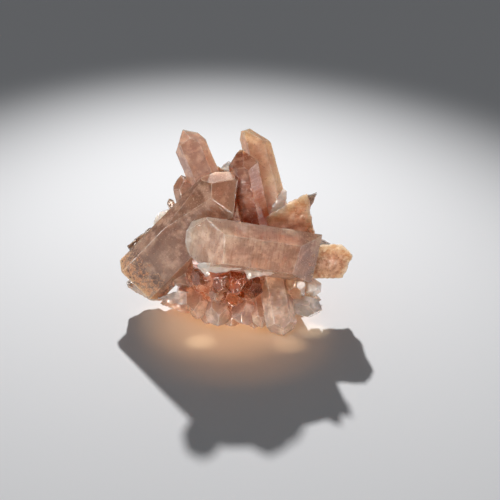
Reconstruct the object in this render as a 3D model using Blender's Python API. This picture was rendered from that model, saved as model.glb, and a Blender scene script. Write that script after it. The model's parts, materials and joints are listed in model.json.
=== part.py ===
"""Hematoid quartz cluster: five large crystals, broken blocks and a crust of small crystals,
grown as one piece.

Frame: +Z up, +X to the right and -Y to the front of the cluster as it is shown, and the
origin below the middle of it on its resting face. Rows are in millimetres and degrees,
measured from a point near the middle of the cluster; the mesh is in metres.
"""

import math
import random
from collections import namedtuple

import bmesh
import bpy
from mathutils import Matrix, Vector

NAME = "quartz_cluster"
MM = 0.001

# The angle between a quartz termination face's normal and the crystal's long axis.
LEAN = 51.8

# A crystal: root and tip are the ends of its axis, width is across the corners of its
# hexagon and depth across the two prism faces that roll 0 turns to the front and the back.
# A facet is (side, back, lean): the way it faces round the axis, with 0 the front and 90 the
# right of an upright crystal, how far behind the tip it crosses the axis, and the angle of
# its normal to the axis.
Crystal = namedtuple("Crystal", "name root tip width depth roll facets")

# A broken block or plate: a convex outline in x and z, its front and back, and the share
# that its back outline shrinks to.
Block = namedtuple("Block", "name outline front back taper")


def six_facets(*backs, lean=LEAN):
    """One facet above each prism face, with these setbacks taken in turn."""
    return [(60 * i, backs[i % len(backs)], lean) for i in range(6)]


LARGE_CRYSTALS = [
    Crystal("front", (38, -15, 35.5), (-27, -23, 50), 24, 18, 12,
            [(-8, 12.3, 44), (60, 6, 30), (-68, 5.5, 26), (180, -8, 60), (-5, 67, 128)]),
    Crystal("large", (-46.5, 4, 15), (1, -2, 69), 28, 16, -14,
            [(-32, -72, 84), (-6.5, -0.3, 55.7), (-70, -2, 46), (100, 0.5, 52), (180, -15, 55),
             (-120, -9, 52)]),
    Crystal("left_tall", (-7, 8, 46), (-25.5, 22, 87.5), 15.8, 12, 10,
            [(-14, 1.2, 43), (62, 1.7, 49), (-90, 0.8, 50), (180, 1, 50), (-120, 1, 52)]),
    Crystal("back_tall", (19.5, 14, 41.5), (7.5, 28, 84.5), 14.5, 11, 4,
            [(-80, -6, 42), (70, 1, 46), (180, -2, 50), (-120, -4, 52), (120, 1, 52)]),
    Crystal("middle", (10.5, 2, 40), (1.5, 10, 82.5), 14.6, 13, -12,
            [(0, 3.2, 44), (50, 2, 53), (-60, 1, 52), (180, 1, 50), (120, 1, 50), (-120, 1, 52)]),
]

SMALL_CRYSTALS = [
    Crystal("shoulder", (-21.5, 10, 47), (-26.5, 16, 67), 11.5, 8, 20, six_facets(0, 1.5)),
    Crystal("bud", (-28.5, 12, 44.5), (-32.5, 15, 54), 4, 3.4, 0, six_facets(0, 0.5)),
    Crystal("clear_front", (17, -8, 26), (22.8, -27, -1), 15, 12.5, -10,
            six_facets(-1, 2, lean=40)),
    Crystal("right_small", (27.5, -8, 8), (28, -17, 28.5), 10.5, 8, 0, six_facets(0, 1.5)),
    Crystal("right_clear", (27, -12, 10.5), (43.5, -17, 9), 11, 9, 0, six_facets(0, 2.5)),
    Crystal("round_bud", (34, 0, 14), (38.5, -10, 17.5), 9, 8, 15, six_facets(0, 0.3, lean=40)),
    Crystal("inner_1", (-6.3, -9, 13), (-6.8, -24.5, 30.5), 9, 8, 10, six_facets(0, 2.5)),
    Crystal("inner_2", (-1, -6, 28), (2.6, -27, 22.5), 11, 9, -25, six_facets(0.5, 3, 0)),
    Crystal("inner_3", (6, -6, 26), (9.6, -25.5, 18.5), 9.5, 8, 12, six_facets(0, 2.5)),
    Crystal("inner_4", (-3, -6, 9), (1, -25, 22), 10, 8, 35, six_facets(1, 0, 3)),
    Crystal("inner_5", (-8.2, -6, 10), (-9.5, -23, 21.5), 7.5, 6, -15, six_facets(0, 1)),
    Crystal("inner_6", (-16, -4, 26), (-16.8, -18.5, 21.5), 11, 8, 20, six_facets(0, 3)),
    Crystal("foot_1", (-18.5, -4, 14), (-17.5, -19.5, 3), 12.5, 9, 25, six_facets(0, 3)),
    Crystal("foot_2", (-8.7, -4, 13), (-8.5, -23, 1.5), 13, 10, -8, six_facets(0, 2.5)),
    Crystal("foot_3", (2.5, -4, 13), (5, -23, 2), 14, 9, 22, six_facets(1, 0, 3)),
    Crystal("foot_4", (10, -6, 14), (12.5, -23.5, 2.5), 8.5, 7.5, -20, six_facets(0, 1)),
    Crystal("foot_5", (-12, -4, 6), (-14, -17.5, 1.5), 8.5, 7, 30, six_facets(0, 1)),
    Crystal("foot_6", (-2, -4, 5), (-2.5, -18.5, 0), 10, 8, 0, six_facets(0, 2)),
    Crystal("foot_7", (8, -6, 3), (9, -19.5, 0), 9, 8, 15, six_facets(0, 1.5)),
]

# Blocks lean back by this, as the cleavage that broke them does.
BLOCK_RAKE = 25

BLOCKS = [
    Block("right_fin", [(9.5, 46.5), (23.5, 56.5), (33.5, 62.5), (35, 54.5), (35.5, 51.5),
                        (37, 41.5), (30.5, 35.5), (12.5, 38.5)], 0, 12, 0.8),
    Block("fin_point", [(33, 59.5), (38.5, 61.5), (37.5, 58.5), (35, 53), (32, 50)], 4, 9, 0.8),
    Block("broken_end", [(36, 37), (43.5, 36.5), (46.5, 39), (50, 38.5), (54, 34.5),
                         (55, 33), (52, 30.5), (51, 21), (36, 21)], -6, 8, 0.85),
    Block("end_ledge", [(33, 42), (40.5, 37), (45.5, 35), (49.5, 32), (38, 28)], 2, 10, 0.9),
    Block("left_plate", [(-52.5, 29.5), (-51, 31), (-42.5, 39), (-39, 40), (-33, 40),
                         (-35, 30), (-47, 22), (-51, 27)], 12, 18, 0.9),
    Block("left_chips", [(-39.5, 42), (-37.5, 47), (-33.5, 48), (-28, 50), (-24, 44),
                         (-30, 36), (-38, 38)], 12, 18, 0.9),
    Block("ledge_1", [(-53, 15.5), (-52.5, 13.5), (-48, 10), (-42.5, 6.5), (-37, 5.5),
                      (-33, 8.5), (-36, 20), (-50, 19.5)], 0, 8, 0.9),
    Block("ledge_2", [(-37.5, 11.5), (-27.5, 15), (-21, 14), (-13, 12.5), (-24, 8), (-31.5, 8.5)],
          -8, 2, 1),
    Block("sliver_1", [(-16.5, 38.5), (-15.3, 36.5), (-9.1, 33.4), (2.4, 36), (2, 38.5)],
          -26.5, -18, 0.9),
    Block("sliver_2", [(2, 38), (3.3, 34.4), (5.9, 30.2), (13.9, 32), (20, 33.5), (20, 38)],
          -25.5, -17, 0.9),
    Block("sliver_3", [(-18, 37), (-17, 35), (-13.8, 31), (-12, 32), (-13.5, 37)], -24.5, -19, 0.9),
    Block("ledge_3", [(-36.5, 7.5), (-31, 5), (-25.5, 3.5), (-23.5, 2), (-17.5, 3), (-17, 11),
                      (-32.5, 12)], -6, 4, 1),
    Block("back_wedge", [(-13.5, 64), (-11.5, 70), (-8.5, 69.5), (-6.5, 67.5), (-2, 65.5),
                         (-2, 58), (-12, 56)], 16, 22, 0.9),
    Block("pale_chip", [(-10, 66), (-5.5, 69), (-3.5, 71.5), (0, 68), (0, 56), (-8, 56)],
          18, 24, 0.9),
    Block("base_chip", [(16, 48), (17.5, 52), (19.5, 56), (22.5, 61), (24, 60), (24, 56), (22, 48)],
          9, 16, 0.9),
]

# The solid quartz that the crystals share, as rough egg shapes: centre and radii. The first
# is the foot that the crust grows on, and the second ties the large crystals together.
CORE = ((2, 4, 20), (32, 20, 28))
SADDLE = ((6, -4, 31), (26, 13, 12))
EGG_ROUGHNESS = 0.12
EGG_SEED = 5

# The crust of small crystals runs round the sides and the back, from one side of the front
# to the other, in rings of (height, how many, upward pitch). Each crystal starts this share
# of the way out from the core's axis, and varies within the ranges below.
CRUST_SEED = 11
CRUST_FROM, CRUST_TO = 100, 285
CRUST_RINGS = [(6, 11, -12), (16, 11, 8), (28, 10, 25), (38, 8, 45)]
CRUST_START = 0.5
CRUST_LENGTH = (16, 26)
CRUST_WIDTH = (7, 12)
CRUST_DEPTH_SHARE = (0.7, 0.85)
CRUST_SPACING = (-0.2, 0.2)
CRUST_PITCH = (-16, 16)
CRUST_ROLL = (-30, 30)
CRUST_SETBACKS = ((0.2, 2), (0, 1))

# The slab that cuts the cluster flat where it broke off its rock.
BASE_CUT_DEPTH = 40
BASE_CUT_WIDTH = 200

# A crystal that lies this near the front and back line takes its roll from the vertical.
ALONG_VIEW = 0.1

QUARTZ_COLOUR = (0.42, 0.2, 0.11, 1)
QUARTZ_ROUGHNESS = 0.25
QUARTZ_IOR = 1.54


def crystal_frame(root, tip, roll):
    """Matrix whose Z runs from root to tip, and whose -Y faces as near the front as it can."""
    along = (Vector(tip) - Vector(root)).normalized()
    front = Vector((0, -1, 0))
    front -= along * along.dot(front)
    if front.length < ALONG_VIEW:
        front = Vector((0, 0, 1)) - along * along.z
    back = -front.normalized()
    side = back.cross(along)
    frame = Matrix((side, back, along)).transposed().to_4x4()
    frame.translation = Vector(root)
    return frame @ Matrix.Rotation(math.radians(roll), 4, "Z")


def cut(bm, point, normal):
    """Cuts away what lies beyond the plane, on its normal's side, and closes the cut."""
    geom = bm.verts[:] + bm.edges[:] + bm.faces[:]
    made = bmesh.ops.bisect_plane(
        bm, geom=geom, plane_co=point, plane_no=normal, clear_outer=True
    )
    edges = [e for e in made["geom_cut"] if isinstance(e, bmesh.types.BMEdge)]
    if edges:
        bmesh.ops.edgenet_fill(bm, edges=edges)


def side_normal(side, lean):
    """Unit normal in a crystal's frame: side is 0 at the front, lean is from the axis."""
    a, b = math.radians(side), math.radians(lean)
    return Vector((math.sin(b) * math.sin(a), -math.sin(b) * math.cos(a), math.cos(b)))


def crystal_mesh(c):
    """The crystal as a hexagonal prism, cut to its depth and then to its termination."""
    length = (Vector(c.tip) - Vector(c.root)).length
    radius = c.width / 2
    bm = bmesh.new()
    turn = Matrix.Rotation(math.radians(30), 4, "Z") @ Matrix.Translation((0, 0, length / 2))
    bmesh.ops.create_cone(
        bm, cap_ends=True, segments=6, radius1=radius, radius2=radius, depth=length, matrix=turn
    )
    for side in (0, 180):
        normal = side_normal(side, 90)
        cut(bm, normal * c.depth / 2, normal)
    for side, back, lean in c.facets:
        cut(bm, Vector((0, 0, length - back)), side_normal(side, lean))
    bm.transform(crystal_frame(c.root, c.tip, c.roll))
    bmesh.ops.recalc_face_normals(bm, faces=bm.faces)
    return bm


def block_mesh(b):
    """The block: a hull round its outline at the front and the smaller one at the back."""
    bm = bmesh.new()
    middle = sum((Vector((x, 0, z)) for x, z in b.outline), Vector()) / len(b.outline)
    drop = (b.back - b.front) * math.tan(math.radians(BLOCK_RAKE))
    for x, z in b.outline:
        corner = Vector((x, 0, z))
        bm.verts.new(corner + Vector((0, b.front, 0)))
        bm.verts.new(middle.lerp(corner, b.taper) + Vector((0, b.back, -drop)))
    bmesh.ops.convex_hull(bm, input=bm.verts[:])
    bmesh.ops.recalc_face_normals(bm, faces=bm.faces)
    return bm


def egg_mesh(centre, radii):
    """A rough egg shape, with each corner pushed in or out a little."""
    rng = random.Random(EGG_SEED)
    bm = bmesh.new()
    bmesh.ops.create_icosphere(bm, subdivisions=2, radius=1)
    for v in bm.verts:
        v.co *= 1 + rng.uniform(-EGG_ROUGHNESS, EGG_ROUGHNESS)
    bm.transform(Matrix.Translation(centre) @ Matrix.Diagonal((*radii, 1)))
    return bm


def add_object(name, bm, collection):
    """Adds the bmesh, given in millimetres, as an object in metres."""
    bm.transform(Matrix.Scale(MM, 4))
    mesh = bpy.data.meshes.new(name)
    bm.to_mesh(mesh)
    bm.free()
    obj = bpy.data.objects.new(name, mesh)
    collection.objects.link(obj)
    return obj


def crust_crystals():
    """Small crystals round the sides and the back of the core, pointing outwards."""
    rng = random.Random(CRUST_SEED)
    centre, radii = CORE
    rows = []
    for ring, (height, count, pitch) in enumerate(CRUST_RINGS):
        for i in range(count):
            stagger = 0.5 * (ring % 2)
            share = (i + stagger + rng.uniform(*CRUST_SPACING)) / count
            turn = math.radians(CRUST_FROM + (CRUST_TO - CRUST_FROM) * share)
            out = Vector((math.sin(turn), -math.cos(turn), 0))
            x = centre[0] + out.x * radii[0] * CRUST_START
            y = centre[1] + out.y * radii[1] * CRUST_START
            root = Vector((x, y, height))
            lean = math.radians(pitch + rng.uniform(*CRUST_PITCH))
            length = rng.uniform(*CRUST_LENGTH)
            tip = root + (out * math.cos(lean) + Vector((0, 0, math.sin(lean)))) * length
            width = rng.uniform(*CRUST_WIDTH)
            depth = width * rng.uniform(*CRUST_DEPTH_SHARE)
            roll = rng.uniform(*CRUST_ROLL)
            facets = six_facets(0, *(rng.uniform(*setback) for setback in CRUST_SETBACKS))
            rows.append(Crystal(f"crust_{ring}_{i}", root, tip, width, depth, roll, facets))
    return rows


def add_helper(name, bm, collection):
    """Adds a shape that only serves a modifier, so it is neither rendered nor built."""
    obj = add_object(name, bm, collection)
    obj.hide_render = True
    obj.display_type = "WIRE"
    return obj


def quartz_material():
    """Reddish brown quartz, cloudy with iron oxide."""
    material = bpy.data.materials.new("hematoid_quartz")
    material.use_nodes = True
    shader = material.node_tree.nodes["Principled BSDF"]
    shader.inputs["Base Color"].default_value = QUARTZ_COLOUR
    shader.inputs["Roughness"].default_value = QUARTZ_ROUGHNESS
    shader.inputs["IOR"].default_value = QUARTZ_IOR
    return material


def all_shapes():
    """Every crystal and block that grew on the core, as pairs of a name and a bmesh."""
    for row in LARGE_CRYSTALS + SMALL_CRYSTALS + crust_crystals():
        yield row.name, crystal_mesh(row)
    for row in BLOCKS:
        yield row.name, block_mesh(row)
    yield "saddle", egg_mesh(*SADDLE)


def joined_mesh(cluster):
    """The cluster's mesh with its modifiers applied and any hollow sealed inside filled."""
    graph = bpy.context.evaluated_depsgraph_get()
    mesh = bpy.data.meshes.new_from_object(cluster.evaluated_get(graph))
    bm = bmesh.new()
    bm.from_mesh(mesh)
    outside = shell_from(max(bm.verts, key=lambda v: v.co.z))
    inside = [v for v in bm.verts if v not in outside]
    bmesh.ops.delete(bm, geom=inside, context="VERTS")
    bm.to_mesh(mesh)
    bm.free()
    return mesh


def shell_from(start):
    """All the vertices that edges link to this one."""
    found, queue = {start}, [start]
    while queue:
        v = queue.pop()
        for edge in v.link_edges:
            other = edge.other_vert(v)
            if other not in found:
                found.add(other)
                queue.append(other)
    return found


def base_cutter():
    """A slab under z = 0, wider than the cluster."""
    bm = bmesh.new()
    bmesh.ops.create_cube(bm, size=1)
    sides = Matrix.Diagonal((BASE_CUT_WIDTH, BASE_CUT_WIDTH, BASE_CUT_DEPTH, 1))
    bm.transform(Matrix.Translation((0, 0, -BASE_CUT_DEPTH / 2)) @ sides)
    return bm


def add_boolean(cluster, name, operation, collection):
    """Joins every object of the collection to the cluster, or cuts them from it."""
    boolean = cluster.modifiers.new(name, "BOOLEAN")
    boolean.operation = operation
    boolean.operand_type = "COLLECTION"
    boolean.collection = collection
    boolean.solver = "EXACT"


def main():
    for obj in list(bpy.data.objects):
        bpy.data.objects.remove(obj)
    parts = bpy.data.collections.new("hematoid_quartz_crystal")
    grown = bpy.data.collections.new("grown_crystals")
    cutters = bpy.data.collections.new("cutters")
    for collection in (parts, grown, cutters):
        bpy.context.scene.collection.children.link(collection)
    for name, bm in all_shapes():
        add_helper(name, bm, grown)
    add_helper("base_cut", base_cutter(), cutters)
    cluster = add_object(NAME, egg_mesh(*CORE), parts)
    add_boolean(cluster, "grown_together", "UNION", grown)
    add_boolean(cluster, "broken_from_rock", "DIFFERENCE", cutters)

    cluster.data = joined_mesh(cluster)
    cluster.modifiers.clear()
    cluster.data.materials.append(quartz_material())
    corners = [v.co for v in cluster.data.vertices]
    low, high = (Vector(f(c[i] for c in corners) for i in range(3)) for f in (min, max))
    cluster.location = (-(low.x + high.x) / 2, -(low.y + high.y) / 2, -low.z)


if __name__ == "__main__":
    main()
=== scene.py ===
"""Looks of the hematoid quartz cluster: a finely modelled mesh in place of the plain solid,
its cloudy, iron-stained and clear quartz, and the backlit pale floor it stands on.

Rows are in millimetres and degrees in the cluster's drawing frame, the one that its crystals
are laid out in; ORIGIN is where that frame's zero lies in the model's own frame.
"""

import json
import math
import random
from collections import namedtuple

import bmesh
import bpy
from mathutils import Matrix, Vector, noise

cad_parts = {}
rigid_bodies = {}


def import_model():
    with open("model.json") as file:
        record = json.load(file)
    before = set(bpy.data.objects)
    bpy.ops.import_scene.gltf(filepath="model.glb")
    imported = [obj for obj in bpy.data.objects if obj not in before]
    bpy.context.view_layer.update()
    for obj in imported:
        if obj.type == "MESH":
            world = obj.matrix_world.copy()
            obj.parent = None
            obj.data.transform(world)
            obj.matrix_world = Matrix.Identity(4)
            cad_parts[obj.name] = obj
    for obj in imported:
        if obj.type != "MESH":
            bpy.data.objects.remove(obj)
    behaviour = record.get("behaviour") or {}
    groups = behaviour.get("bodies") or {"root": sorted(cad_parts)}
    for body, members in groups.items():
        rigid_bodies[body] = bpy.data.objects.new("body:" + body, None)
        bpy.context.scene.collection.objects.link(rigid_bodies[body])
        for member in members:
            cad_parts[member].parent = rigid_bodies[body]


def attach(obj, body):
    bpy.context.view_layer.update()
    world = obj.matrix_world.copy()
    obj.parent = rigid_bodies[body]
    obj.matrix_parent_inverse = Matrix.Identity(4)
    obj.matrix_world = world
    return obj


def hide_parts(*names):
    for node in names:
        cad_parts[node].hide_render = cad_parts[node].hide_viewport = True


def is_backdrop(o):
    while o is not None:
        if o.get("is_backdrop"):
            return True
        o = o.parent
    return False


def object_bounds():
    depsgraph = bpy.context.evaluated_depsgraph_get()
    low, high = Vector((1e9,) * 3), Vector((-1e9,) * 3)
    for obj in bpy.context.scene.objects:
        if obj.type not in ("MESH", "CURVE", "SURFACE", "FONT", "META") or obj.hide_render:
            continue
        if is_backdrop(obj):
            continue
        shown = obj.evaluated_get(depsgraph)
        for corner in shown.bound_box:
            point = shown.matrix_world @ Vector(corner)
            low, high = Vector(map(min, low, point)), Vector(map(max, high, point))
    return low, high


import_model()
cad_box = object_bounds()

MM = 0.001
NODE = "quartz_cluster"
ORIGIN = (0.757, -3.325, 0)

# The angle between a quartz termination face's normal and the crystal's long axis.
LEAN = 51.8

# A crystal: root and tip are the ends of its axis, width is across the corners of its
# hexagon and depth across the two prism faces that roll 0 turns to the front and the back.
# A facet is (side, back, lean): the way it faces round the axis, with 0 the front and 90 the
# right of an upright crystal, how far behind the tip it crosses the axis, and the angle of
# its normal to the axis.
Crystal = namedtuple("Crystal", "name root tip width depth roll facets")

# A broken block or plate: a convex outline in x and z, its front and back, and the share
# that its back outline shrinks to.
Block = namedtuple("Block", "name outline front back taper")

# How a shape looks: the tint at its root and at its tip, how clear it is at each, how much
# rust lies on it at each, and how strong the lines of growth across it are.
Look = namedtuple(
    "Look", "root_tint tip_tint root_clear tip_clear root_rust tip_rust bands",
    defaults=(0, 0, 0.25),
)


def six_facets(*backs, lean=LEAN):
    """One facet above each prism face, with these setbacks taken in turn."""
    return [(60 * i, backs[i % len(backs)], lean) for i in range(6)]


LARGE_CRYSTALS = [
    Crystal("front", (38, -15, 35.5), (-27, -23, 50), 24, 18, 12,
            [(-8, 12.3, 44), (60, 6, 30), (-68, 5.5, 26), (180, -8, 60), (-5, 67, 128)]),
    Crystal("large", (-46.5, 4, 15), (1, -2, 69), 28, 16, -14,
            [(-32, -72, 84), (-6.5, -0.3, 55.7), (-70, -2, 46), (100, 0.5, 52), (180, -15, 55),
             (-120, -9, 52)]),
    Crystal("left_tall", (-7, 8, 46), (-25.5, 22, 87.5), 15.8, 12, 10,
            [(-14, 1.2, 43), (62, 1.7, 49), (-90, 0.8, 50), (180, 1, 50), (-120, 1, 52)]),
    Crystal("back_tall", (19.5, 14, 41.5), (7.5, 28, 84.5), 14.5, 11, 4,
            [(-80, -6, 42), (70, 1, 46), (180, -2, 50), (-120, -4, 52), (120, 1, 52)]),
    Crystal("middle", (10.5, 2, 40), (1.5, 10, 82.5), 14.6, 13, -12,
            [(0, 3.2, 44), (50, 2, 53), (-60, 1, 52), (180, 1, 50), (120, 1, 50), (-120, 1, 52)]),
]

SMALL_CRYSTALS = [
    Crystal("shoulder", (-21.5, 10, 47), (-26.5, 16, 67), 11.5, 8, 20, six_facets(0, 1.5)),
    Crystal("bud", (-28.5, 12, 44.5), (-32.5, 15, 54), 4, 3.4, 0, six_facets(0, 0.5)),
    Crystal("clear_front", (17, -8, 26), (22.8, -27, -1), 15, 12.5, -10,
            six_facets(-1, 2, lean=40)),
    Crystal("right_small", (27.5, -8, 8), (28, -17, 28.5), 10.5, 8, 0, six_facets(0, 1.5)),
    Crystal("right_clear", (27, -12, 10.5), (43.5, -17, 9), 11, 9, 0, six_facets(0, 2.5)),
    Crystal("round_bud", (34, 0, 14), (38.5, -10, 17.5), 9, 8, 15, six_facets(0, 0.3, lean=40)),
    Crystal("inner_1", (-6.3, -9, 13), (-6.8, -24.5, 30.5), 9, 8, 10, six_facets(0, 2.5)),
    Crystal("inner_2", (-1, -6, 28), (2.6, -27, 22.5), 11, 9, -25, six_facets(0.5, 3, 0)),
    Crystal("inner_3", (6, -6, 26), (9.6, -25.5, 18.5), 9.5, 8, 12, six_facets(0, 2.5)),
    Crystal("inner_4", (-3, -6, 9), (1, -25, 22), 10, 8, 35, six_facets(1, 0, 3)),
    Crystal("inner_5", (-8.2, -6, 10), (-9.5, -23, 21.5), 7.5, 6, -15, six_facets(0, 1)),
    Crystal("inner_6", (-16, -4, 26), (-16.8, -18.5, 21.5), 11, 8, 20, six_facets(0, 3)),
    Crystal("foot_1", (-18.5, -4, 14), (-17.5, -19.5, 3), 12.5, 9, 25, six_facets(0, 3)),
    Crystal("foot_2", (-8.7, -4, 13), (-8.5, -23, 1.5), 13, 10, -8, six_facets(0, 2.5)),
    Crystal("foot_3", (2.5, -4, 13), (5, -23, 2), 14, 9, 22, six_facets(1, 0, 3)),
    Crystal("foot_4", (10, -6, 14), (12.5, -23.5, 2.5), 8.5, 7.5, -20, six_facets(0, 1)),
    Crystal("foot_5", (-12, -4, 6), (-14, -17.5, 1.5), 8.5, 7, 30, six_facets(0, 1)),
    Crystal("foot_6", (-2, -4, 5), (-2.5, -18.5, 0), 10, 8, 0, six_facets(0, 2)),
    Crystal("foot_7", (8, -6, 3), (9, -19.5, 0), 9, 8, 15, six_facets(0, 1.5)),
]

# Blocks lean back by this, as the cleavage that broke them does.
BLOCK_RAKE = 25

BLOCKS = [
    Block("right_fin", [(9.5, 46.5), (23.5, 56.5), (33.5, 62.5), (35, 54.5), (35.5, 51.5),
                        (37, 41.5), (30.5, 35.5), (12.5, 38.5)], 0, 12, 0.8),
    Block("fin_point", [(33, 59.5), (38.5, 61.5), (37.5, 58.5), (35, 53), (32, 50)], 4, 9, 0.8),
    Block("broken_end", [(36, 37), (43.5, 36.5), (46.5, 39), (50, 38.5), (54, 34.5),
                         (55, 33), (52, 30.5), (51, 21), (36, 21)], -6, 8, 0.85),
    Block("end_ledge", [(33, 42), (40.5, 37), (45.5, 35), (49.5, 32), (38, 28)], 2, 10, 0.9),
    Block("left_plate", [(-52.5, 29.5), (-51, 31), (-42.5, 39), (-39, 40), (-33, 40),
                         (-35, 30), (-47, 22), (-51, 27)], 12, 18, 0.9),
    Block("left_chips", [(-39.5, 42), (-37.5, 47), (-33.5, 48), (-28, 50), (-24, 44),
                         (-30, 36), (-38, 38)], 12, 18, 0.9),
    Block("ledge_1", [(-53, 15.5), (-52.5, 13.5), (-48, 10), (-42.5, 6.5), (-37, 5.5),
                      (-33, 8.5), (-36, 20), (-50, 19.5)], 0, 8, 0.9),
    Block("ledge_2", [(-37.5, 11.5), (-27.5, 15), (-21, 14), (-13, 12.5), (-24, 8), (-31.5, 8.5)],
          -8, 2, 1),
    Block("sliver_1", [(-16.5, 38.5), (-15.3, 36.5), (-9.1, 33.4), (2.4, 36), (2, 38.5)],
          -26.5, -18, 0.9),
    Block("sliver_2", [(2, 38), (3.3, 34.4), (5.9, 30.2), (13.9, 32), (20, 33.5), (20, 38)],
          -25.5, -17, 0.9),
    Block("sliver_3", [(-18, 37), (-17, 35), (-13.8, 31), (-12, 32), (-13.5, 37)], -24.5, -19, 0.9),
    Block("ledge_3", [(-36.5, 7.5), (-31, 5), (-25.5, 3.5), (-23.5, 2), (-17.5, 3), (-17, 11),
                      (-32.5, 12)], -6, 4, 1),
    Block("back_wedge", [(-13.5, 64), (-11.5, 70), (-8.5, 69.5), (-6.5, 67.5), (-2, 65.5),
                         (-2, 58), (-12, 56)], 16, 22, 0.9),
    Block("pale_chip", [(-10, 66), (-5.5, 69), (-3.5, 71.5), (0, 68), (0, 56), (-8, 56)],
          18, 24, 0.9),
    Block("base_chip", [(16, 48), (17.5, 52), (19.5, 56), (22.5, 61), (24, 60), (24, 56), (22, 48)],
          9, 16, 0.9),
]

# The solid quartz that the crystals share, as rough egg shapes: centre and radii. The first
# is the foot that the crust grows on, and the second ties the large crystals together.
CORE = ((2, 4, 20), (32, 20, 28))
SADDLE = ((6, -4, 31), (26, 13, 12))
EGG_ROUGHNESS = 0.12
EGG_SEED = 5

# The crust of small crystals runs round the sides and the back, from one side of the front
# to the other, in rings of (height, how many, upward pitch). Each crystal starts this share
# of the way out from the core's axis, and varies within the ranges below.
CRUST_SEED = 11
CRUST_FROM, CRUST_TO = 100, 285
CRUST_RINGS = [(6, 11, -12), (16, 11, 8), (28, 10, 25), (38, 8, 45)]
CRUST_START = 0.5
CRUST_LENGTH = (16, 26)
CRUST_WIDTH = (7, 12)
CRUST_DEPTH_SHARE = (0.7, 0.85)
CRUST_SPACING = (-0.2, 0.2)
CRUST_PITCH = (-16, 16)
CRUST_ROLL = (-30, 30)
CRUST_SETBACKS = ((0.2, 2), (0, 1))

# The slab that cuts the cluster flat where it broke off its rock.
BASE_CUT_DEPTH = 40
BASE_CUT_WIDTH = 200

# A crystal that lies this near the front and back line takes its roll from the vertical.
ALONG_VIEW = 0.1

# Tints of the quartz, as linear colour.
BROWN = (0.32, 0.13, 0.065)
ROSE_BROWN = (0.60, 0.33, 0.23)
PINK_BROWN = (0.74, 0.48, 0.38)
DEEP_BROWN = (0.28, 0.085, 0.035)
# Near-black painted shade, for the deep gap between the tall crystals.
PAINTED_SHADE_BROWN = (0.13, 0.035, 0.015)
AMBER = (0.52, 0.12, 0.03)
ORANGE = (0.85, 0.28, 0.09)
PEACH = (0.94, 0.56, 0.34)
PALE_BROWN = (0.88, 0.66, 0.53)
WARM_BROWN = (0.46, 0.25, 0.16)
PALE_PEACH = (0.95, 0.70, 0.53)
GREY_BROWN = (0.30, 0.19, 0.14)
CREAM = (0.88, 0.66, 0.50)
SMOKE = (0.24, 0.16, 0.13)
CLEAR = (0.97, 0.94, 0.92)
PALE = (0.90, 0.78, 0.68)
RUST = (0.33, 0.14, 0.07)
OCHRE = (0.55, 0.32, 0.18)
# Pale edge colour: partly wear, partly a painted highlight along the edges.
EDGE_WEAR_AND_HIGHLIGHT = (0.95, 0.84, 0.75)
SPECK = (0.16, 0.07, 0.05)

# The darker clouds take this share of the tint, and the paler ones mix it with cream.
DARKER = (0.68, 0.58, 0.52)
PALER_SHARE = 0.35
BODY_ROUGHNESS = 0.14
CLEAR_ROUGHNESS = 0.04
ABSORPTION = (0.97, 0.72, 0.48)
ABSORPTION_DENSITY = 38

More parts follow.
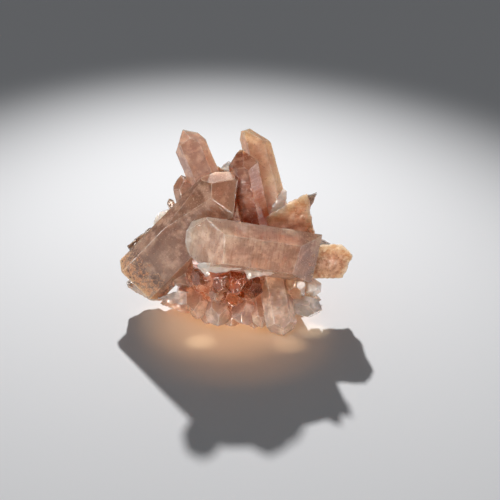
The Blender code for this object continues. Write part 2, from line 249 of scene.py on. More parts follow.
LOOKS = {
    "front": Look(WARM_BROWN, PALE_BROWN, 0.6, 0.5, 0.3, 0, 0.35),
    "large": Look(GREY_BROWN, WARM_BROWN, 0.65, 0.55, 0.65, 0, 0.05),
    "left_tall": Look(ROSE_BROWN, PINK_BROWN, 0.6, 0.6, 0.1, 0, 0.1),
    "back_tall": Look(PALE_PEACH, PEACH, 0.45, 0.5, 0.15, 0.1, 0.1),
    "middle": Look(AMBER, BROWN, 0.65, 0.65, 0.05, 0, 0.3),
    "shoulder": Look(GREY_BROWN, ROSE_BROWN, 0.75, 0.7),
    "bud": Look(GREY_BROWN, ROSE_BROWN, 0.8, 0.8),
    "clear_front": Look(PEACH, CLEAR, 0.7, 0.75),
    "right_small": Look(CREAM, PEACH, 0.7, 0.65),
    "right_clear": Look(CLEAR, CLEAR, 0.7, 0.75),
    "round_bud": Look(PEACH, CLEAR, 0.2, 0.3),
    "right_fin": Look(ROSE_BROWN, PEACH, 0.5, 0.5, 0.35, 0.2, 0.3),
    "fin_point": Look(SMOKE, GREY_BROWN, 0.8, 0.8),
    "broken_end": Look(PEACH, CREAM, 0.1, 0.1, 0.55, 0.5, 0.1),
    "end_ledge": Look(CLEAR, CLEAR, 0.9, 0.9),
    "left_plate": Look(SMOKE, SMOKE, 0.8, 0.8),
    "left_chips": Look(CLEAR, CLEAR, 0.3, 0.3, 0.3, 0.25),
    "ledge_1": Look(PALE, SMOKE, 0.8, 0.8),
    "ledge_2": Look(CLEAR, CLEAR, 0.7, 0.7),
    "ledge_3": Look(ORANGE, PALE, 0.7, 0.7, 0.1, 0.1),
    "sliver": Look(CLEAR, PALE, 0.45, 0.4),
    # The wedge in the gap between the tall crystals takes painted shade.
    "back_wedge": Look(PAINTED_SHADE_BROWN, PAINTED_SHADE_BROWN, 0.1, 0.1, 0.3, 0.3),
    "pale_chip": Look(PALE, CLEAR, 0.8, 0.8, 0.1, 0.1),
    "base_chip": Look(CLEAR, CLEAR, 0.5, 0.5),
    "inner_1": Look(AMBER, BROWN, 0.8, 0.8),
    "inner_2": Look(AMBER, AMBER, 0.8, 0.8),
    "inner_3": Look(DEEP_BROWN, DEEP_BROWN, 0.8, 0.8),
    "inner_4": Look(AMBER, AMBER, 0.8, 0.8),
    "inner_5": Look(ROSE_BROWN, PINK_BROWN, 0.8, 0.85),
    "inner_6": Look(DEEP_BROWN, BROWN, 0.8, 0.8),
    "foot_1": Look(ORANGE, PALE, 0.7, 0.7),
    "foot_2": Look(PEACH, CLEAR, 0.7, 0.7),
    "foot_3": Look(ORANGE, CLEAR, 0.7, 0.7),
    "foot": Look(ORANGE, PALE, 0.6, 0.6),
    "crust": Look(ROSE_BROWN, CREAM, 0.7, 0.8, 0.1, 0),
    "core": Look(AMBER, AMBER, 0.5, 0.5, 0.3, 0.3),
    "saddle": Look(AMBER, AMBER, 0.6, 0.6, 0.1, 0.1),
}

# Facets painted brighter or darker than their crystal, as painted light and shade for how the light
# falls on them, and how dull they are.
PAINTED_FACET_LIGHT = {
    "front": [((-5, 128), 1.1, 0), ((60, 30), 2.4, 0.3), ((60, 90), 1.4, 0), ((-60, 90), 0.9, 0)],
    "large": [((-6.5, 55.7), 1.3, 0), ((-70, 46), 1.0, 0.8), ((100, 52), 1.3, 0),
              ((60, 90), 1.4, 0), ((-60, 90), 1.2, 0)],
    "left_tall": [((-14, 43), 1.1, 0), ((62, 49), 1.4, 0), ((60, 90), 1.4, 0)],
    "back_tall": [((60, 90), 1.2, 0)],
    "middle": [((50, 53), 1.1, 0.6), ((60, 90), 1.3, 0.6), ((-60, 90), 1.0, 0.3)],
}
BRIGHTEST = 0.95
TONE_RANGE = (0.86, 1.14)

FLOOR_SIZE = 4
FLOOR_GAP = 0.00005

# How finely a shape is divided, and the width of the worn bevel along its edges, whose faces take a
# painted highlight.
FINE_CELL = 0.9
COARSE_CELL = 1.4
FINE_WIDTH = 13
BEVEL = 0.16
BEVEL_SHARE = 0.03
RIM_AREA = 3
LINE_DEPTH = 0.12
NICK_START = 0.12
SAME_FACING = 0.995
RUST_FADE = 3


def crystal_frame(root, tip, roll):
    """Matrix whose Z runs from root to tip, and whose -Y faces as near the front as it can."""
    along = (Vector(tip) - Vector(root)).normalized()
    front = Vector((0, -1, 0))
    front -= along * along.dot(front)
    if front.length < ALONG_VIEW:
        front = Vector((0, 0, 1)) - along * along.z
    back = -front.normalized()
    side = back.cross(along)
    matrix = Matrix((side, back, along)).transposed().to_4x4()
    matrix.translation = Vector(root)
    return matrix @ Matrix.Rotation(math.radians(roll), 4, "Z")


def cut(bm, point, normal):
    """Cuts away what lies beyond the plane, on its normal's side, and closes the cut."""
    geom = bm.verts[:] + bm.edges[:] + bm.faces[:]
    made = bmesh.ops.bisect_plane(
        bm, geom=geom, plane_co=point, plane_no=normal, clear_outer=True
    )
    edges = [e for e in made["geom_cut"] if isinstance(e, bmesh.types.BMEdge)]
    if edges:
        bmesh.ops.edgenet_fill(bm, edges=edges)


def side_normal(side, lean):
    """Unit normal in a crystal's frame: side is 0 at the front, lean is from the axis."""
    a, b = math.radians(side), math.radians(lean)
    return Vector((math.sin(b) * math.sin(a), -math.sin(b) * math.cos(a), math.cos(b)))


def crystal_prism(c):
    """The crystal in its own frame, as a hexagonal prism cut to its depth and termination."""
    length = (Vector(c.tip) - Vector(c.root)).length
    radius = c.width / 2
    bm = bmesh.new()
    turn = Matrix.Rotation(math.radians(30), 4, "Z") @ Matrix.Translation((0, 0, length / 2))
    bmesh.ops.create_cone(
        bm, cap_ends=True, segments=6, radius1=radius, radius2=radius, depth=length, matrix=turn
    )
    for side in (0, 180):
        normal = side_normal(side, 90)
        cut(bm, normal * c.depth / 2, normal)
    for side, back, lean in c.facets:
        cut(bm, Vector((0, 0, length - back)), side_normal(side, lean))
    bmesh.ops.recalc_face_normals(bm, faces=bm.faces)
    return bm


def block_prism(b):
    """The block: a hull round its outline at the front and the smaller one at the back."""
    bm = bmesh.new()
    middle = sum((Vector((x, 0, z)) for x, z in b.outline), Vector()) / len(b.outline)
    drop = (b.back - b.front) * math.tan(math.radians(BLOCK_RAKE))
    for x, z in b.outline:
        corner = Vector((x, 0, z))
        bm.verts.new(corner + Vector((0, b.front, 0)))
        bm.verts.new(middle.lerp(corner, b.taper) + Vector((0, b.back, -drop)))
    bmesh.ops.convex_hull(bm, input=bm.verts[:])
    bmesh.ops.recalc_face_normals(bm, faces=bm.faces)
    bmesh.ops.dissolve_limit(bm, angle_limit=math.radians(1), verts=bm.verts, edges=bm.edges)
    return bm


def egg_mesh(centre, radii, subdivisions=2):
    """A rough egg shape, with each corner pushed in or out a little."""
    rng = random.Random(EGG_SEED)
    bm = bmesh.new()
    bmesh.ops.create_icosphere(bm, subdivisions=subdivisions, radius=1)
    for v in bm.verts:
        v.co *= 1 + rng.uniform(-EGG_ROUGHNESS, EGG_ROUGHNESS)
    bm.transform(Matrix.Translation(centre) @ Matrix.Diagonal((*radii, 1)))
    return bm


def crust_crystals():
    """Small crystals round the sides and the back of the core, pointing outwards."""
    rng = random.Random(CRUST_SEED)
    centre, radii = CORE
    rows = []
    for ring, (height, count, pitch) in enumerate(CRUST_RINGS):
        for i in range(count):
            stagger = 0.5 * (ring % 2)
            share = (i + stagger + rng.uniform(*CRUST_SPACING)) / count
            turn = math.radians(CRUST_FROM + (CRUST_TO - CRUST_FROM) * share)
            out = Vector((math.sin(turn), -math.cos(turn), 0))
            x = centre[0] + out.x * radii[0] * CRUST_START
            y = centre[1] + out.y * radii[1] * CRUST_START
            root = Vector((x, y, height))
            lean = math.radians(pitch + rng.uniform(*CRUST_PITCH))
            length = rng.uniform(*CRUST_LENGTH)
            tip = root + (out * math.cos(lean) + Vector((0, 0, math.sin(lean)))) * length
            width = rng.uniform(*CRUST_WIDTH)
            depth = width * rng.uniform(*CRUST_DEPTH_SHARE)
            roll = rng.uniform(*CRUST_ROLL)
            facets = six_facets(0, *(rng.uniform(*setback) for setback in CRUST_SETBACKS))
            rows.append(Crystal(f"crust_{ring}_{i}", root, tip, width, depth, roll, facets))
    return rows


def bevelled(bm, width):
    """Bevels every edge, marks the new narrow faces and frames the others with a thin rim."""
    for f in bm.faces:
        f.material_index = 0
    made = bmesh.ops.bevel(
        bm, geom=bm.edges[:], offset=width, segments=1, affect="EDGES", clamp_overlap=True
    )
    for f in made["faces"]:
        f.material_index = 1
    flat = [f for f in bm.faces if f.material_index == 0 and f.calc_area() > RIM_AREA]
    bmesh.ops.inset_individual(bm, faces=flat, thickness=width, use_even_offset=True)


def sliced(bm, axis, cell):
    """Cuts the mesh into slices of this thickness across the axis, and keeps all of it."""
    low = min(v.co[axis] for v in bm.verts)
    high = max(v.co[axis] for v in bm.verts)
    count = int((high - low) / cell)
    normal = Vector([1.0 if i == axis else 0.0 for i in range(3)])
    for i in range(1, count + 1):
        at = normal * (low + (high - low) * i / (count + 1))
        geom = bm.verts[:] + bm.edges[:] + bm.faces[:]
        bmesh.ops.bisect_plane(bm, geom=geom, plane_co=at, plane_no=normal)


def look_of(name):
    """The look named for this shape, or for its group, the part of the name before a _."""
    return LOOKS.get(name) or LOOKS[name.split("_")[0]]


def set_tones_and_painted_light(bm, name, seed):
    """Gives each flat face its own brightness: by chance, or by its direction as painted light and
    shade.
    """
    tone = bm.faces.layers.float.new("tone")
    dull = bm.faces.layers.float.new("dull")
    rng = random.Random(seed)
    for f in sorted(bm.faces, key=lambda f: tuple(round(x, 3) for x in f.normal)):
        f[tone] = rng.uniform(*TONE_RANGE)
        # Facets in the table take painted light or shade in place of the chance tone.
        for facing, value, dullness in PAINTED_FACET_LIGHT.get(name, ()):
            if f.normal.dot(side_normal(*facing)) > SAME_FACING:
                f[tone] = value
                f[dull] = dullness


def set_look(bm, look, low, high):
    """Writes each vertex's place in its crystal, tint, clearness, rust and edge as layers."""
    tone = bm.faces.layers.float.get("tone")
    dull_face = bm.faces.layers.float.get("dull")
    dull = bm.verts.layers.float.new("dull")
    grain = bm.verts.layers.float_vector.new("grain")
    tint = bm.verts.layers.float_color.new("tint")
    marks = bm.verts.layers.float_vector.new("marks")
    known = bm.verts.layers.float.new("known")
    for v in bm.verts:
        share = min(1, max(0, (v.co.z - low) / (high - low)))
        colour = Vector(look.root_tint).lerp(Vector(look.tip_tint), share)
        v[grain] = v.co
        flat = [f for f in v.link_faces if f.material_index == 0]
        # The face tone, which is painted light and shade on the listed facets, brightens or darkens
        # the tint.
        if tone and flat:
            brighter = sum(f[tone] for f in flat) / len(flat)
            colour = colour * min(brighter, BRIGHTEST / max(colour))
            v[dull] = max(f[dull_face] for f in flat)
        v[tint] = (*colour, look.bands)
        clear = look.root_clear + (look.tip_clear - look.root_clear) * share
        rust = look.root_rust + (look.tip_rust - look.root_rust) * min(1, share * RUST_FADE)
        edge = any(f.material_index == 1 for f in v.link_faces)
        v[marks] = (clear, rust, 1.0 if edge else 0.0)
        v[known] = 1


def roughen(bm, size, depth, seed):
    """Pushes each vertex in or out along its normal by smooth noise of this size and depth."""
    shift = Vector((seed * 13.7, seed * 7.1, seed * 3.3))
    bm.normal_update()
    moves = [(v, v.normal * noise.noise(v.co / size + shift) * depth) for v in bm.verts]
    for v, move in moves:
        v.co += move


def add_growth_lines(bm, length, width):
    """Draws each level across the axis in by a little, as the fine steps of growth do."""
    seed = width * 3.1 + length
    for v in bm.verts:
        step = noise.noise(Vector((seed, 0, v.co.z * 0.9))) + noise.noise(
            Vector((seed, 5, v.co.z * 0.25)))
        inward = LINE_DEPTH * (0.5 + 0.5 * step)
        radius = math.hypot(v.co.x, v.co.y)
        if radius > inward:
            v.co.x *= 1 - inward / radius
            v.co.y *= 1 - inward / radius


def nick_edges(bm, centre_of, size, depth):
    """Pulls in short stretches of the worn edges towards the middle of the shape."""
    for v in bm.verts:
        if not any(f.material_index == 1 for f in v.link_faces):
            continue
        bite = noise.noise(v.co / size + Vector((3, 8, 1))) - NICK_START
        if bite > 0:
            inward = centre_of(v.co) - v.co
            v.co += inward.normalized() * min(depth, bite * 2 * depth)


def detailed_crystal(row):
    """A crystal with worn and nicked edges that carry a painted highlight, growth lines and
    slightly uneven faces.
    """
    bm = crystal_prism(row)
    length = (Vector(row.tip) - Vector(row.root)).length
    set_tones_and_painted_light(bm, row.name, row.width + length)
    bevelled(bm, min(BEVEL, row.width * BEVEL_SHARE))
    cell = FINE_CELL if row.width > FINE_WIDTH else COARSE_CELL
    for axis in (2, 0, 1):
        sliced(bm, axis, cell)
    set_look(bm, look_of(row.name), 0, length)
    nick_edges(bm, lambda co: Vector((0, 0, co.z)), 2.5, 0.7)
    add_growth_lines(bm, length, row.width)
    roughen(bm, 7, 0.1, row.width)
    roughen(bm, 1.7, 0.05, row.width + 1)
    bm.transform(crystal_frame(row.root, row.tip, row.roll))
    return bm


def detailed_block(row):
    """A broken block with a rough, stepped surface."""
    bm = block_prism(row)
    set_tones_and_painted_light(bm, row.name, row.front)
    bevelled(bm, BEVEL)
    for axis in (2, 0, 1):
        sliced(bm, axis, FINE_CELL)
    heights = [v.co.z for v in bm.verts]
    set_look(bm, look_of(row.name), min(heights), max(heights))
    roughen(bm, 5, 0.9, row.front)
    roughen(bm, 1.6, 0.5, row.back)
    return bm


def detailed_egg(name, centre, radii):
    """A rough egg of the shared quartz."""
    bm = egg_mesh(centre, radii)
    bmesh.ops.subdivide_edges(bm, edges=bm.edges[:], cuts=3, use_grid_fill=True)
    for f in bm.faces:
        f.material_index = 0
    heights = [v.co.z for v in bm.verts]
    set_look(bm, look_of(name), min(heights), max(heights))
    return bm


def add_object(name, bm, collection):
    """Adds the bmesh, given in the drawing frame, as an object in the model's frame."""
    bm.transform(Matrix.Scale(MM, 4) @ Matrix.Translation(ORIGIN))
    for f in bm.faces:
        f.material_index = 0
    mesh = bpy.data.meshes.new(name)
    bm.to_mesh(mesh)
    bm.free()
    obj = bpy.data.objects.new(name, mesh)
    collection.objects.link(obj)
    return obj


def all_shapes():
    """Every crystal and block that grew on the core, as pairs of a name and a bmesh."""
    for row in LARGE_CRYSTALS + SMALL_CRYSTALS + crust_crystals():
        yield row.name, detailed_crystal(row)
    for row in BLOCKS:
        yield row.name, detailed_block(row)
    yield "saddle", detailed_egg("saddle", *SADDLE)


def base_cutter():
    """A slab under z = 0, wider than the cluster."""
    bm = bmesh.new()
    bmesh.ops.create_cube(bm, size=1)
    sides = Matrix.Diagonal((BASE_CUT_WIDTH, BASE_CUT_WIDTH, BASE_CUT_DEPTH, 1))
    bm.transform(Matrix.Translation((0, 0, -BASE_CUT_DEPTH / 2)) @ sides)
    return bm


def add_boolean(obj, name, operation, collection):
    """Joins every object of the collection to obj, or cuts them from it."""
    boolean = obj.modifiers.new(name, "BOOLEAN")
    boolean.operation = operation
    boolean.operand_type = "COLLECTION"
    boolean.collection = collection
    boolean.solver = "MANIFOLD"


def shell_from(start):
    """All the vertices that edges link to this one."""
    found, queue = {start}, [start]
    while queue:
        v = queue.pop()
        for edge in v.link_edges:
            other = edge.other_vert(v)
            if other not in found:
                found.add(other)
                queue.append(other)
    return found


def fill_seams(bm):
    """Gives the vertices that the joining made the mean look of those next to them."""
    layers = [bm.verts.layers.float_vector["grain"], bm.verts.layers.float_vector["marks"]]
    tint = bm.verts.layers.float_color["tint"]
    known = bm.verts.layers.float["known"]
    dull = bm.verts.layers.float["dull"]
    waiting = [v for v in bm.verts if v[known] < 0.5]
    while waiting:
        later = []
        for v in waiting:
            near = [e.other_vert(v) for e in v.link_edges]
            near = [n for n in near if n[known] > 0.5]
            if not near:
                later.append(v)
                continue
            for layer in layers:
                v[layer] = sum((n[layer] for n in near), Vector((0, 0, 0))) / len(near)
            v[tint] = sum((n[tint] for n in near), Vector((0, 0, 0, 0))) / len(near)
            v[dull] = sum(n[dull] for n in near) / len(near)
            v[known] = 1
        if len(later) == len(waiting):
            break
        waiting = later


def build_cluster():
    """The whole cluster as one closed mesh."""
    scene = bpy.context.scene
    grown = bpy.data.collections.new("grown_crystals")
    cutters = bpy.data.collections.new("cutters")
    for collection in (grown, cutters):
        scene.collection.children.link(collection)
    for name, bm in all_shapes():
        add_object(name, bm, grown)
    add_object("base_cut", base_cutter(), cutters)
    cluster = add_object("quartz", detailed_egg("core", *CORE), scene.collection)
    add_boolean(cluster, "grown_together", "UNION", grown)
    add_boolean(cluster, "broken_from_rock", "DIFFERENCE", cutters)
    graph = bpy.context.evaluated_depsgraph_get()
    mesh = bpy.data.meshes.new_from_object(cluster.evaluated_get(graph))
    bm = bmesh.new()
    bm.from_mesh(mesh)
    outside = shell_from(max(bm.verts, key=lambda v: v.co.z))
    inside = [v for v in bm.verts if v not in outside]
    bmesh.ops.delete(bm, geom=inside, context="VERTS")
    fill_seams(bm)
    bm.to_mesh(mesh)
    bm.free()
    cluster.modifiers.clear()
    cluster.data = mesh
    for collection in (grown, cutters):
        for obj in list(collection.objects):
            bpy.data.objects.remove(obj)
        bpy.data.collections.remove(collection)
    mesh.shade_smooth()
    mesh.set_sharp_from_angle(angle=math.radians(28))
    return cluster


def add_node(tree, kind, inputs=(), **settings):
    """A shader node with these settings, and its inputs set to values or linked to sockets."""
    made = tree.nodes.new("ShaderNode" + kind)
    for name, value in settings.items():
        setattr(made, name, value)
    for key, value in dict(inputs).items():
        if isinstance(value, bpy.types.NodeSocket):
            tree.links.new(value, made.inputs[key])
        else:
            made.inputs[key].default_value = value
    return made


def add_math(tree, operation, *values):
    """The result of this operation on values or sockets."""
    inputs = dict(enumerate(values))
    return add_node(tree, "Math", inputs, operation=operation).outputs[0]


def add_noise(tree, grain, scale, detail, stretch=(1, 1, 1), shift=(0, 0, 0)):
    """Noise in the crystal's own millimetres, about 0.5 in the middle."""
    place = add_node(tree, "Mapping", {"Vector": grain, "Scale": stretch, "Location": shift})
    inputs = {"Vector": place.outputs[0], "Scale": scale, "Detail": detail}
    return add_node(tree, "TexNoise", inputs).outputs["Fac"]


def add_step(tree, value, low, high, result=1.0):
    """0 below low and the result above high, with a smooth rise between them."""
    inputs = {"Value": value, "From Min": low, "From Max": high, "To Max": result}
    return add_node(tree, "MapRange", inputs, interpolation_type="SMOOTHSTEP").outputs[0]


def add_mix(tree, share, first, second, blend="MIX"):
    """One colour mixed with another, or with a socket's colour, by this share."""
    made = add_node(tree, "Mix", data_type="RGBA", blend_type=blend)
    for index, value in ((0, share), (6, first), (7, second)):
        if isinstance(value, bpy.types.NodeSocket):
            tree.links.new(value, made.inputs[index])
        elif index:
            made.inputs[index].default_value = (*value, 1)
        else:
            made.inputs[index].default_value = value
    return made.outputs[2]


def quartz_material():
    """Cloudy, iron-stained quartz: its tint, clearness, rust and edges come from the mesh."""
    material = bpy.data.materials.new("hematoid_quartz")
    material.use_nodes = True
    tree = material.node_tree
    shader = tree.nodes["Principled BSDF"]
    grain = add_node(tree, "Attribute", attribute_name="grain").outputs["Vector"]
    tints = add_node(tree, "Attribute", attribute_name="tint").outputs
    tint, bands = tints["Color"], tints["Alpha"]
    marks = add_node(tree, "Attribute", attribute_name="marks").outputs["Vector"]
    clear, rust, edge = add_node(tree, "SeparateXYZ", {"Vector": marks}).outputs

    dull = add_node(tree, "Attribute", attribute_name="dull").outputs["Fac"]
    depth = add_noise(tree, grain, 0.06, 3, shift=(11, 2, 6))
    cloud = add_noise(tree, grain, 0.16, 5)
    mottle = add_noise(tree, grain, 0.55, 6, shift=(7, 3, 1))
    lines = add_noise(tree, grain, 1.0, 4, stretch=(0.1, 0.1, 1.3))
    fine = add_noise(tree, grain, 2.6, 3, shift=(2, 9, 4))
    speckle = add_noise(tree, grain, 1.3, 2, shift=(31, 5, 17))
    shards = add_node(tree, "TexVoronoi", {"Vector": grain, "Scale": 0.33}).outputs["Distance"]

    dark = add_mix(tree, 1.0, tint, DARKER, "MULTIPLY")
    light = add_mix(tree, PALER_SHARE, tint, CREAM)
    colour = add_mix(tree, add_step(tree, depth, 0.4, 0.6, 0.7), tint, dark)
    colour = add_mix(tree, add_step(tree, cloud, 0.45, 0.65, 0.8), colour, light)
    colour = add_mix(tree, add_step(tree, mottle, 0.48, 0.62, 0.4), colour, dark)
    banded = add_math(tree, "MULTIPLY", add_step(tree, lines, 0.50, 0.60), bands)
    colour = add_mix(tree, banded, colour, light)
    banded = add_math(tree, "MULTIPLY", add_step(tree, lines, 0.48, 0.38), bands)
    colour = add_mix(tree, banded, colour, dark)
    colour = add_mix(tree, add_step(tree, fine, 0.58, 0.68, 0.4), colour, dark)
    colour = add_mix(tree, add_step(tree, speckle, 0.62, 0.68, 0.5), colour, CREAM)
    colour = add_mix(tree, add_step(tree, speckle, 0.33, 0.29, 0.7), colour, SPECK)

    glassy = add_step(tree, clear, 0.66, 0.8)
    colour = add_mix(tree, add_math(tree, "MULTIPLY", glassy, 0.7), colour, tint)
    grit = add_math(tree, "ADD", mottle, fine)
    ragged = add_math(tree, "MULTIPLY_ADD", grit, 1.1, -1.1)
    rusty = add_step(tree, add_math(tree, "ADD", rust, ragged), 0.4, 0.6)
    rust_colour = add_mix(tree, add_step(tree, fine, 0.35, 0.65), RUST, OCHRE)
    colour = add_mix(tree, rusty, colour, rust_colour)
    # Bevelled edges turn pale, partly as wear and partly as a painted highlight, more so on glassy
    # crystals.
    worn_and_highlit = add_step(tree, add_math(tree, "ADD", edge, ragged), 0.8, 1.15)
    worn_and_highlit = add_math(tree, "MULTIPLY", worn_and_highlit, add_math(tree, "MULTIPLY_ADD", glassy, 0.35, 0.35))
    colour = add_mix(tree, worn_and_highlit, colour, EDGE_WEAR_AND_HIGHLIGHT)
    tree.links.new(colour, shader.inputs["Base Color"])

    solid = add_math(tree, "MAXIMUM", rusty, add_math(tree, "MULTIPLY", worn_and_highlit, 0.5))
    solid = add_math(tree, "MAXIMUM", solid, dull)
    veil = add_step(tree, cloud, 0.45, 0.65, 0.35)
    open_share = add_math(tree, "SUBTRACT", 1.0, add_math(tree, "MAXIMUM", solid, veil))
    tree.links.new(add_math(tree, "MULTIPLY", clear, open_share),
                   shader.inputs["Transmission Weight"])

    matte = add_math(tree, "MULTIPLY_ADD", glassy, CLEAR_ROUGHNESS - BODY_ROUGHNESS,
                     BODY_ROUGHNESS)
    matte = add_math(tree, "MULTIPLY_ADD", add_math(tree, "MAXIMUM", rusty, dull), 0.4, matte)
    tree.links.new(add_math(tree, "MULTIPLY_ADD", worn_and_highlit, 0.2, matte),
                   shader.inputs["Roughness"])
    coat = add_math(tree, "SUBTRACT", 0.9, add_math(tree, "MAXIMUM", rusty, dull))
    tree.links.new(coat, shader.inputs["Coat Weight"])

    relief = add_math(tree, "MULTIPLY_ADD", lines, 0.5, add_math(tree, "MULTIPLY", fine, 0.1))
    rough = add_math(tree, "MULTIPLY", grit, rusty)
    relief = add_math(tree, "MULTIPLY_ADD", rough, 2.5, relief)
    broken = add_math(tree, "MULTIPLY", shards, glassy)
    relief = add_math(tree, "MULTIPLY_ADD", broken, 4.0, relief)
    bump = add_node(tree, "Bump", {"Height": relief, "Strength": 0.5, "Distance": 0.0004})
    tree.links.new(bump.outputs[0], shader.inputs["Normal"])
    smooth = add_node(tree, "Bump", {"Height": relief, "Strength": 0.15, "Distance": 0.0004})
    tree.links.new(smooth.outputs[0], shader.inputs["Coat Normal"])

    shader.inputs["IOR"].default_value = 1.544
    shader.inputs["Coat Roughness"].default_value = 0.03
    shader.inputs["Coat IOR"].default_value = 1.5
    shader.inputs["Subsurface Weight"].default_value = 0.75
    shader.inputs["Subsurface Radius"].default_value = (1, 0.7, 0.5)
    shader.inputs["Subsurface Scale"].default_value = 0.022
    absorb = add_node(tree, "VolumeAbsorption",
                      {"Color": (*ABSORPTION, 1), "Density": ABSORPTION_DENSITY})
    output = next(n for n in tree.nodes if n.type == "OUTPUT_MATERIAL")
    tree.links.new(absorb.outputs[0], output.inputs["Volume"])
    return material


def add_floor():
    """A plain pale floor, wide enough to fill the view."""
    bm = bmesh.new()
    bmesh.ops.create_grid(bm, x_segments=1, y_segments=1, size=FLOOR_SIZE)
    mesh = bpy.data.meshes.new("floor")
    bm.to_mesh(mesh)
    bm.free()
    floor = bpy.data.objects.new("floor", mesh)
    floor.location.z = -FLOOR_GAP
    bpy.context.scene.collection.objects.link(floor)
    material = bpy.data.materials.new("floor_paper")
    material.use_nodes = True
    shader = material.node_tree.nodes["Principled BSDF"]
    shader.inputs["Base Color"].default_value = (0.8, 0.8, 0.81, 1)
    shader.inputs["Roughness"].default_value = 0.7
    shader.inputs["Specular IOR Level"].default_value = 0.15
    mesh.materials.append(material)
    floor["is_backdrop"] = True
    return floor


# The camera looks along +Y and down by CAMERA_DROP. PHOTO_POINT, in the drawing frame, shows
# at pixel PHOTO_PIXEL of the photo, where a pixel is PIXEL_SIZE wide.
CAMERA_DROP = 25
CAMERA_DISTANCE = 0.75
PHOTO_POINT = (0, 0, 43)
PHOTO_PIXEL = (236, 231)
PHOTO_SIZE = 500
PIXEL_SIZE = 0.474 * MM
SENSOR = 36


def add_camera():
    """The camera at the photo's viewing angle."""
    drop = math.radians(CAMERA_DROP)
    back = Vector((0, -math.cos(drop), math.sin(drop)))
    turn = (-back).to_track_quat("-Z", "Y")
    right, up = turn @ Vector((1, 0, 0)), turn @ Vector((0, 1, 0))
    target = (Vector(PHOTO_POINT) + Vector(ORIGIN)) * MM
    target += right * (PHOTO_SIZE / 2 - PHOTO_PIXEL[0]) * PIXEL_SIZE
    target -= up * (PHOTO_SIZE / 2 - PHOTO_PIXEL[1]) * PIXEL_SIZE
    data = bpy.data.cameras.new("camera")
    data.sensor_width = SENSOR
    data.lens = SENSOR / (PHOTO_SIZE * PIXEL_SIZE / CAMERA_DISTANCE)
    data.clip_start = 0.01
    camera = bpy.data.objects.new("camera", data)
    camera.location = target + back * CAMERA_DISTANCE
    camera.rotation_mode = "QUATERNION"
    camera.rotation_quaternion = turn
    bpy.context.scene.collection.objects.link(camera)
    bpy.context.scene.camera = camera


def aimed(name, data, place, target):
    """A light of this data at a place, turned towards a target."""
    light = bpy.data.objects.new(name, data)
    light.location = place
    light.rotation_mode = "QUATERNION"
    light.rotation_quaternion = (Vector(target) - Vector(place)).to_track_quat("-Z", "Y")
    bpy.context.scene.collection.objects.link(light)
    return light


def add_area(name, place, target, size, power, colour=(1, 1, 1)):
    """A square soft light at a place, aimed at a target."""
    data = bpy.data.lights.new(name, "AREA")
    data.size = size
    data.energy = power
    data.color = colour
    return aimed(name, data, place, target)


def add_spot(name, place, target, radius, cone, power, colour=(1, 1, 1)):
    """A round soft spotlight at a place, aimed at a target, that fades out at its cone."""
    data = bpy.data.lights.new(name, "SPOT")
    data.shadow_soft_size = radius
    data.spot_size = math.radians(cone)
    data.spot_blend = 1
    data.energy = power
    data.color = colour
    return aimed(name, data, place, target)


# The key light stands behind the cluster: how far off, how high, and how far to the left.
KEY_AWAY = 1.2
KEY_RISE = 33
KEY_TURN = 4.5
KEY_AIM = (0.0, -0.08, 0.0)
KEY_RADIUS = 0.022
KEY_CONE = 31
KEY_POWER = 84


# Soft fill from each side, as name, place, target, width, power and colour.
FILLS = [
    ("sky", (-0.2, -0.3, 1.0), (0, 0, 0.04), 0.8, 3.5, (0.95, 0.97, 1)),
    ("back_sky", (0, 0.5, 1.1), (0, 0, 0.04), 0.6, 1.2, (1, 1, 1)),
    ("left_card", (-0.8, -0.25, 0.14), (0, 0, 0.05), 0.3, 2.2, (1, 1, 1)),
    ("right_card", (0.8, 0.1, 0.16), (0, 0, 0.05), 0.3, 1.5, (1, 1, 1)),
    ("front_fill", (-0.3, -1.0, 0.16), (0, 0, 0.04), 0.3, 6, (1, 0.95, 0.9)),
]

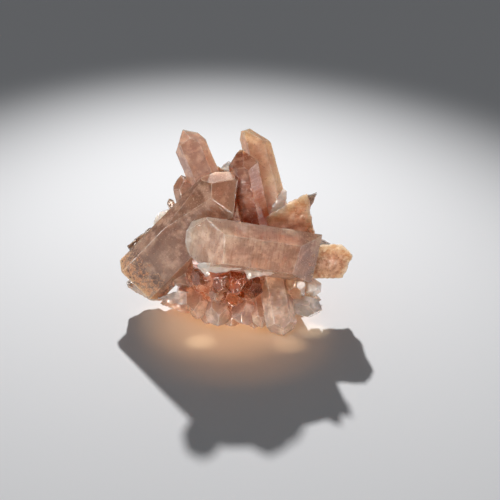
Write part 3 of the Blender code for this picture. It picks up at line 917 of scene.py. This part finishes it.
# Light that passes through the cluster and falls on the floor in its shadow: where, how
# wide the pool is, how strong, and its colour.
GLOWS = [
    ((-0.004, -0.012), 0.048, 3.5, (1.0, 0.55, 0.25)),
    ((0.002, -0.034), 0.05, 1.5, (1.0, 0.45, 0.13)),
    ((-0.016, -0.034), 0.009, 3.0, (1.0, 0.72, 0.42)),
    ((0.026, -0.037), 0.010, 2.2, (1.0, 0.62, 0.32)),
    ((0.038, -0.023), 0.009, 2.6, (1.0, 0.72, 0.42)),
]
GLOW_HEIGHT = 0.5


def add_glows(floor):
    """Warm pools on the floor alone, which nothing but the floor blocks."""
    only = bpy.data.collections.new("glow_floor")
    only.objects.link(floor)
    for i, ((x, y), width, power, colour) in enumerate(GLOWS):
        cone = math.degrees(2 * math.atan(width / GLOW_HEIGHT))
        glow = add_spot(f"glow_{i}", (x, y, GLOW_HEIGHT), (x, y, 0), 0.002, cone, power,
                        colour)
        glow.light_linking.receiver_collection = only
        glow.light_linking.blocker_collection = only


def add_lights(cluster):
    """A small spotlight behind the cluster, and soft fill on the cluster alone."""
    rise, turn = math.radians(KEY_RISE), math.radians(KEY_TURN)
    out = Vector((-math.sin(turn) * math.cos(rise), math.cos(turn) * math.cos(rise),
                  math.sin(rise)))
    key = add_spot("key", out * KEY_AWAY, KEY_AIM, KEY_RADIUS, KEY_CONE, KEY_POWER)
    key.visible_glossy = False
    only = bpy.data.collections.new("filled")
    only.objects.link(cluster)
    for row in FILLS:
        add_area(*row).light_linking.receiver_collection = only
    bounce = add_spot("floor_bounce", (0, -0.6, 0.03), (0.002, -0.02, 0.012), 0.03, 9, 7,
                      (1, 0.86, 0.7))
    bounce.light_linking.receiver_collection = only
    world = bpy.data.worlds.new("studio")
    world.use_nodes = True
    world.node_tree.nodes["Background"].inputs["Color"].default_value = (0.93, 0.96, 1, 1)
    world.node_tree.nodes["Background"].inputs["Strength"].default_value = 0.15
    bpy.context.scene.world = world


def main():
    scene = bpy.context.scene
    scene.view_settings.view_transform = "Standard"
    cluster = build_cluster()
    cluster.data.materials.clear()
    cluster.data.materials.append(quartz_material())
    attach(cluster, "root")
    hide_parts(NODE)
    floor = add_floor()
    add_camera()
    add_lights(cluster)
    add_glows(floor)


main()
boxes = {"cad": cad_box, "visual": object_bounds()}
{k: [list(corner) for corner in box] for k, box in boxes.items()}
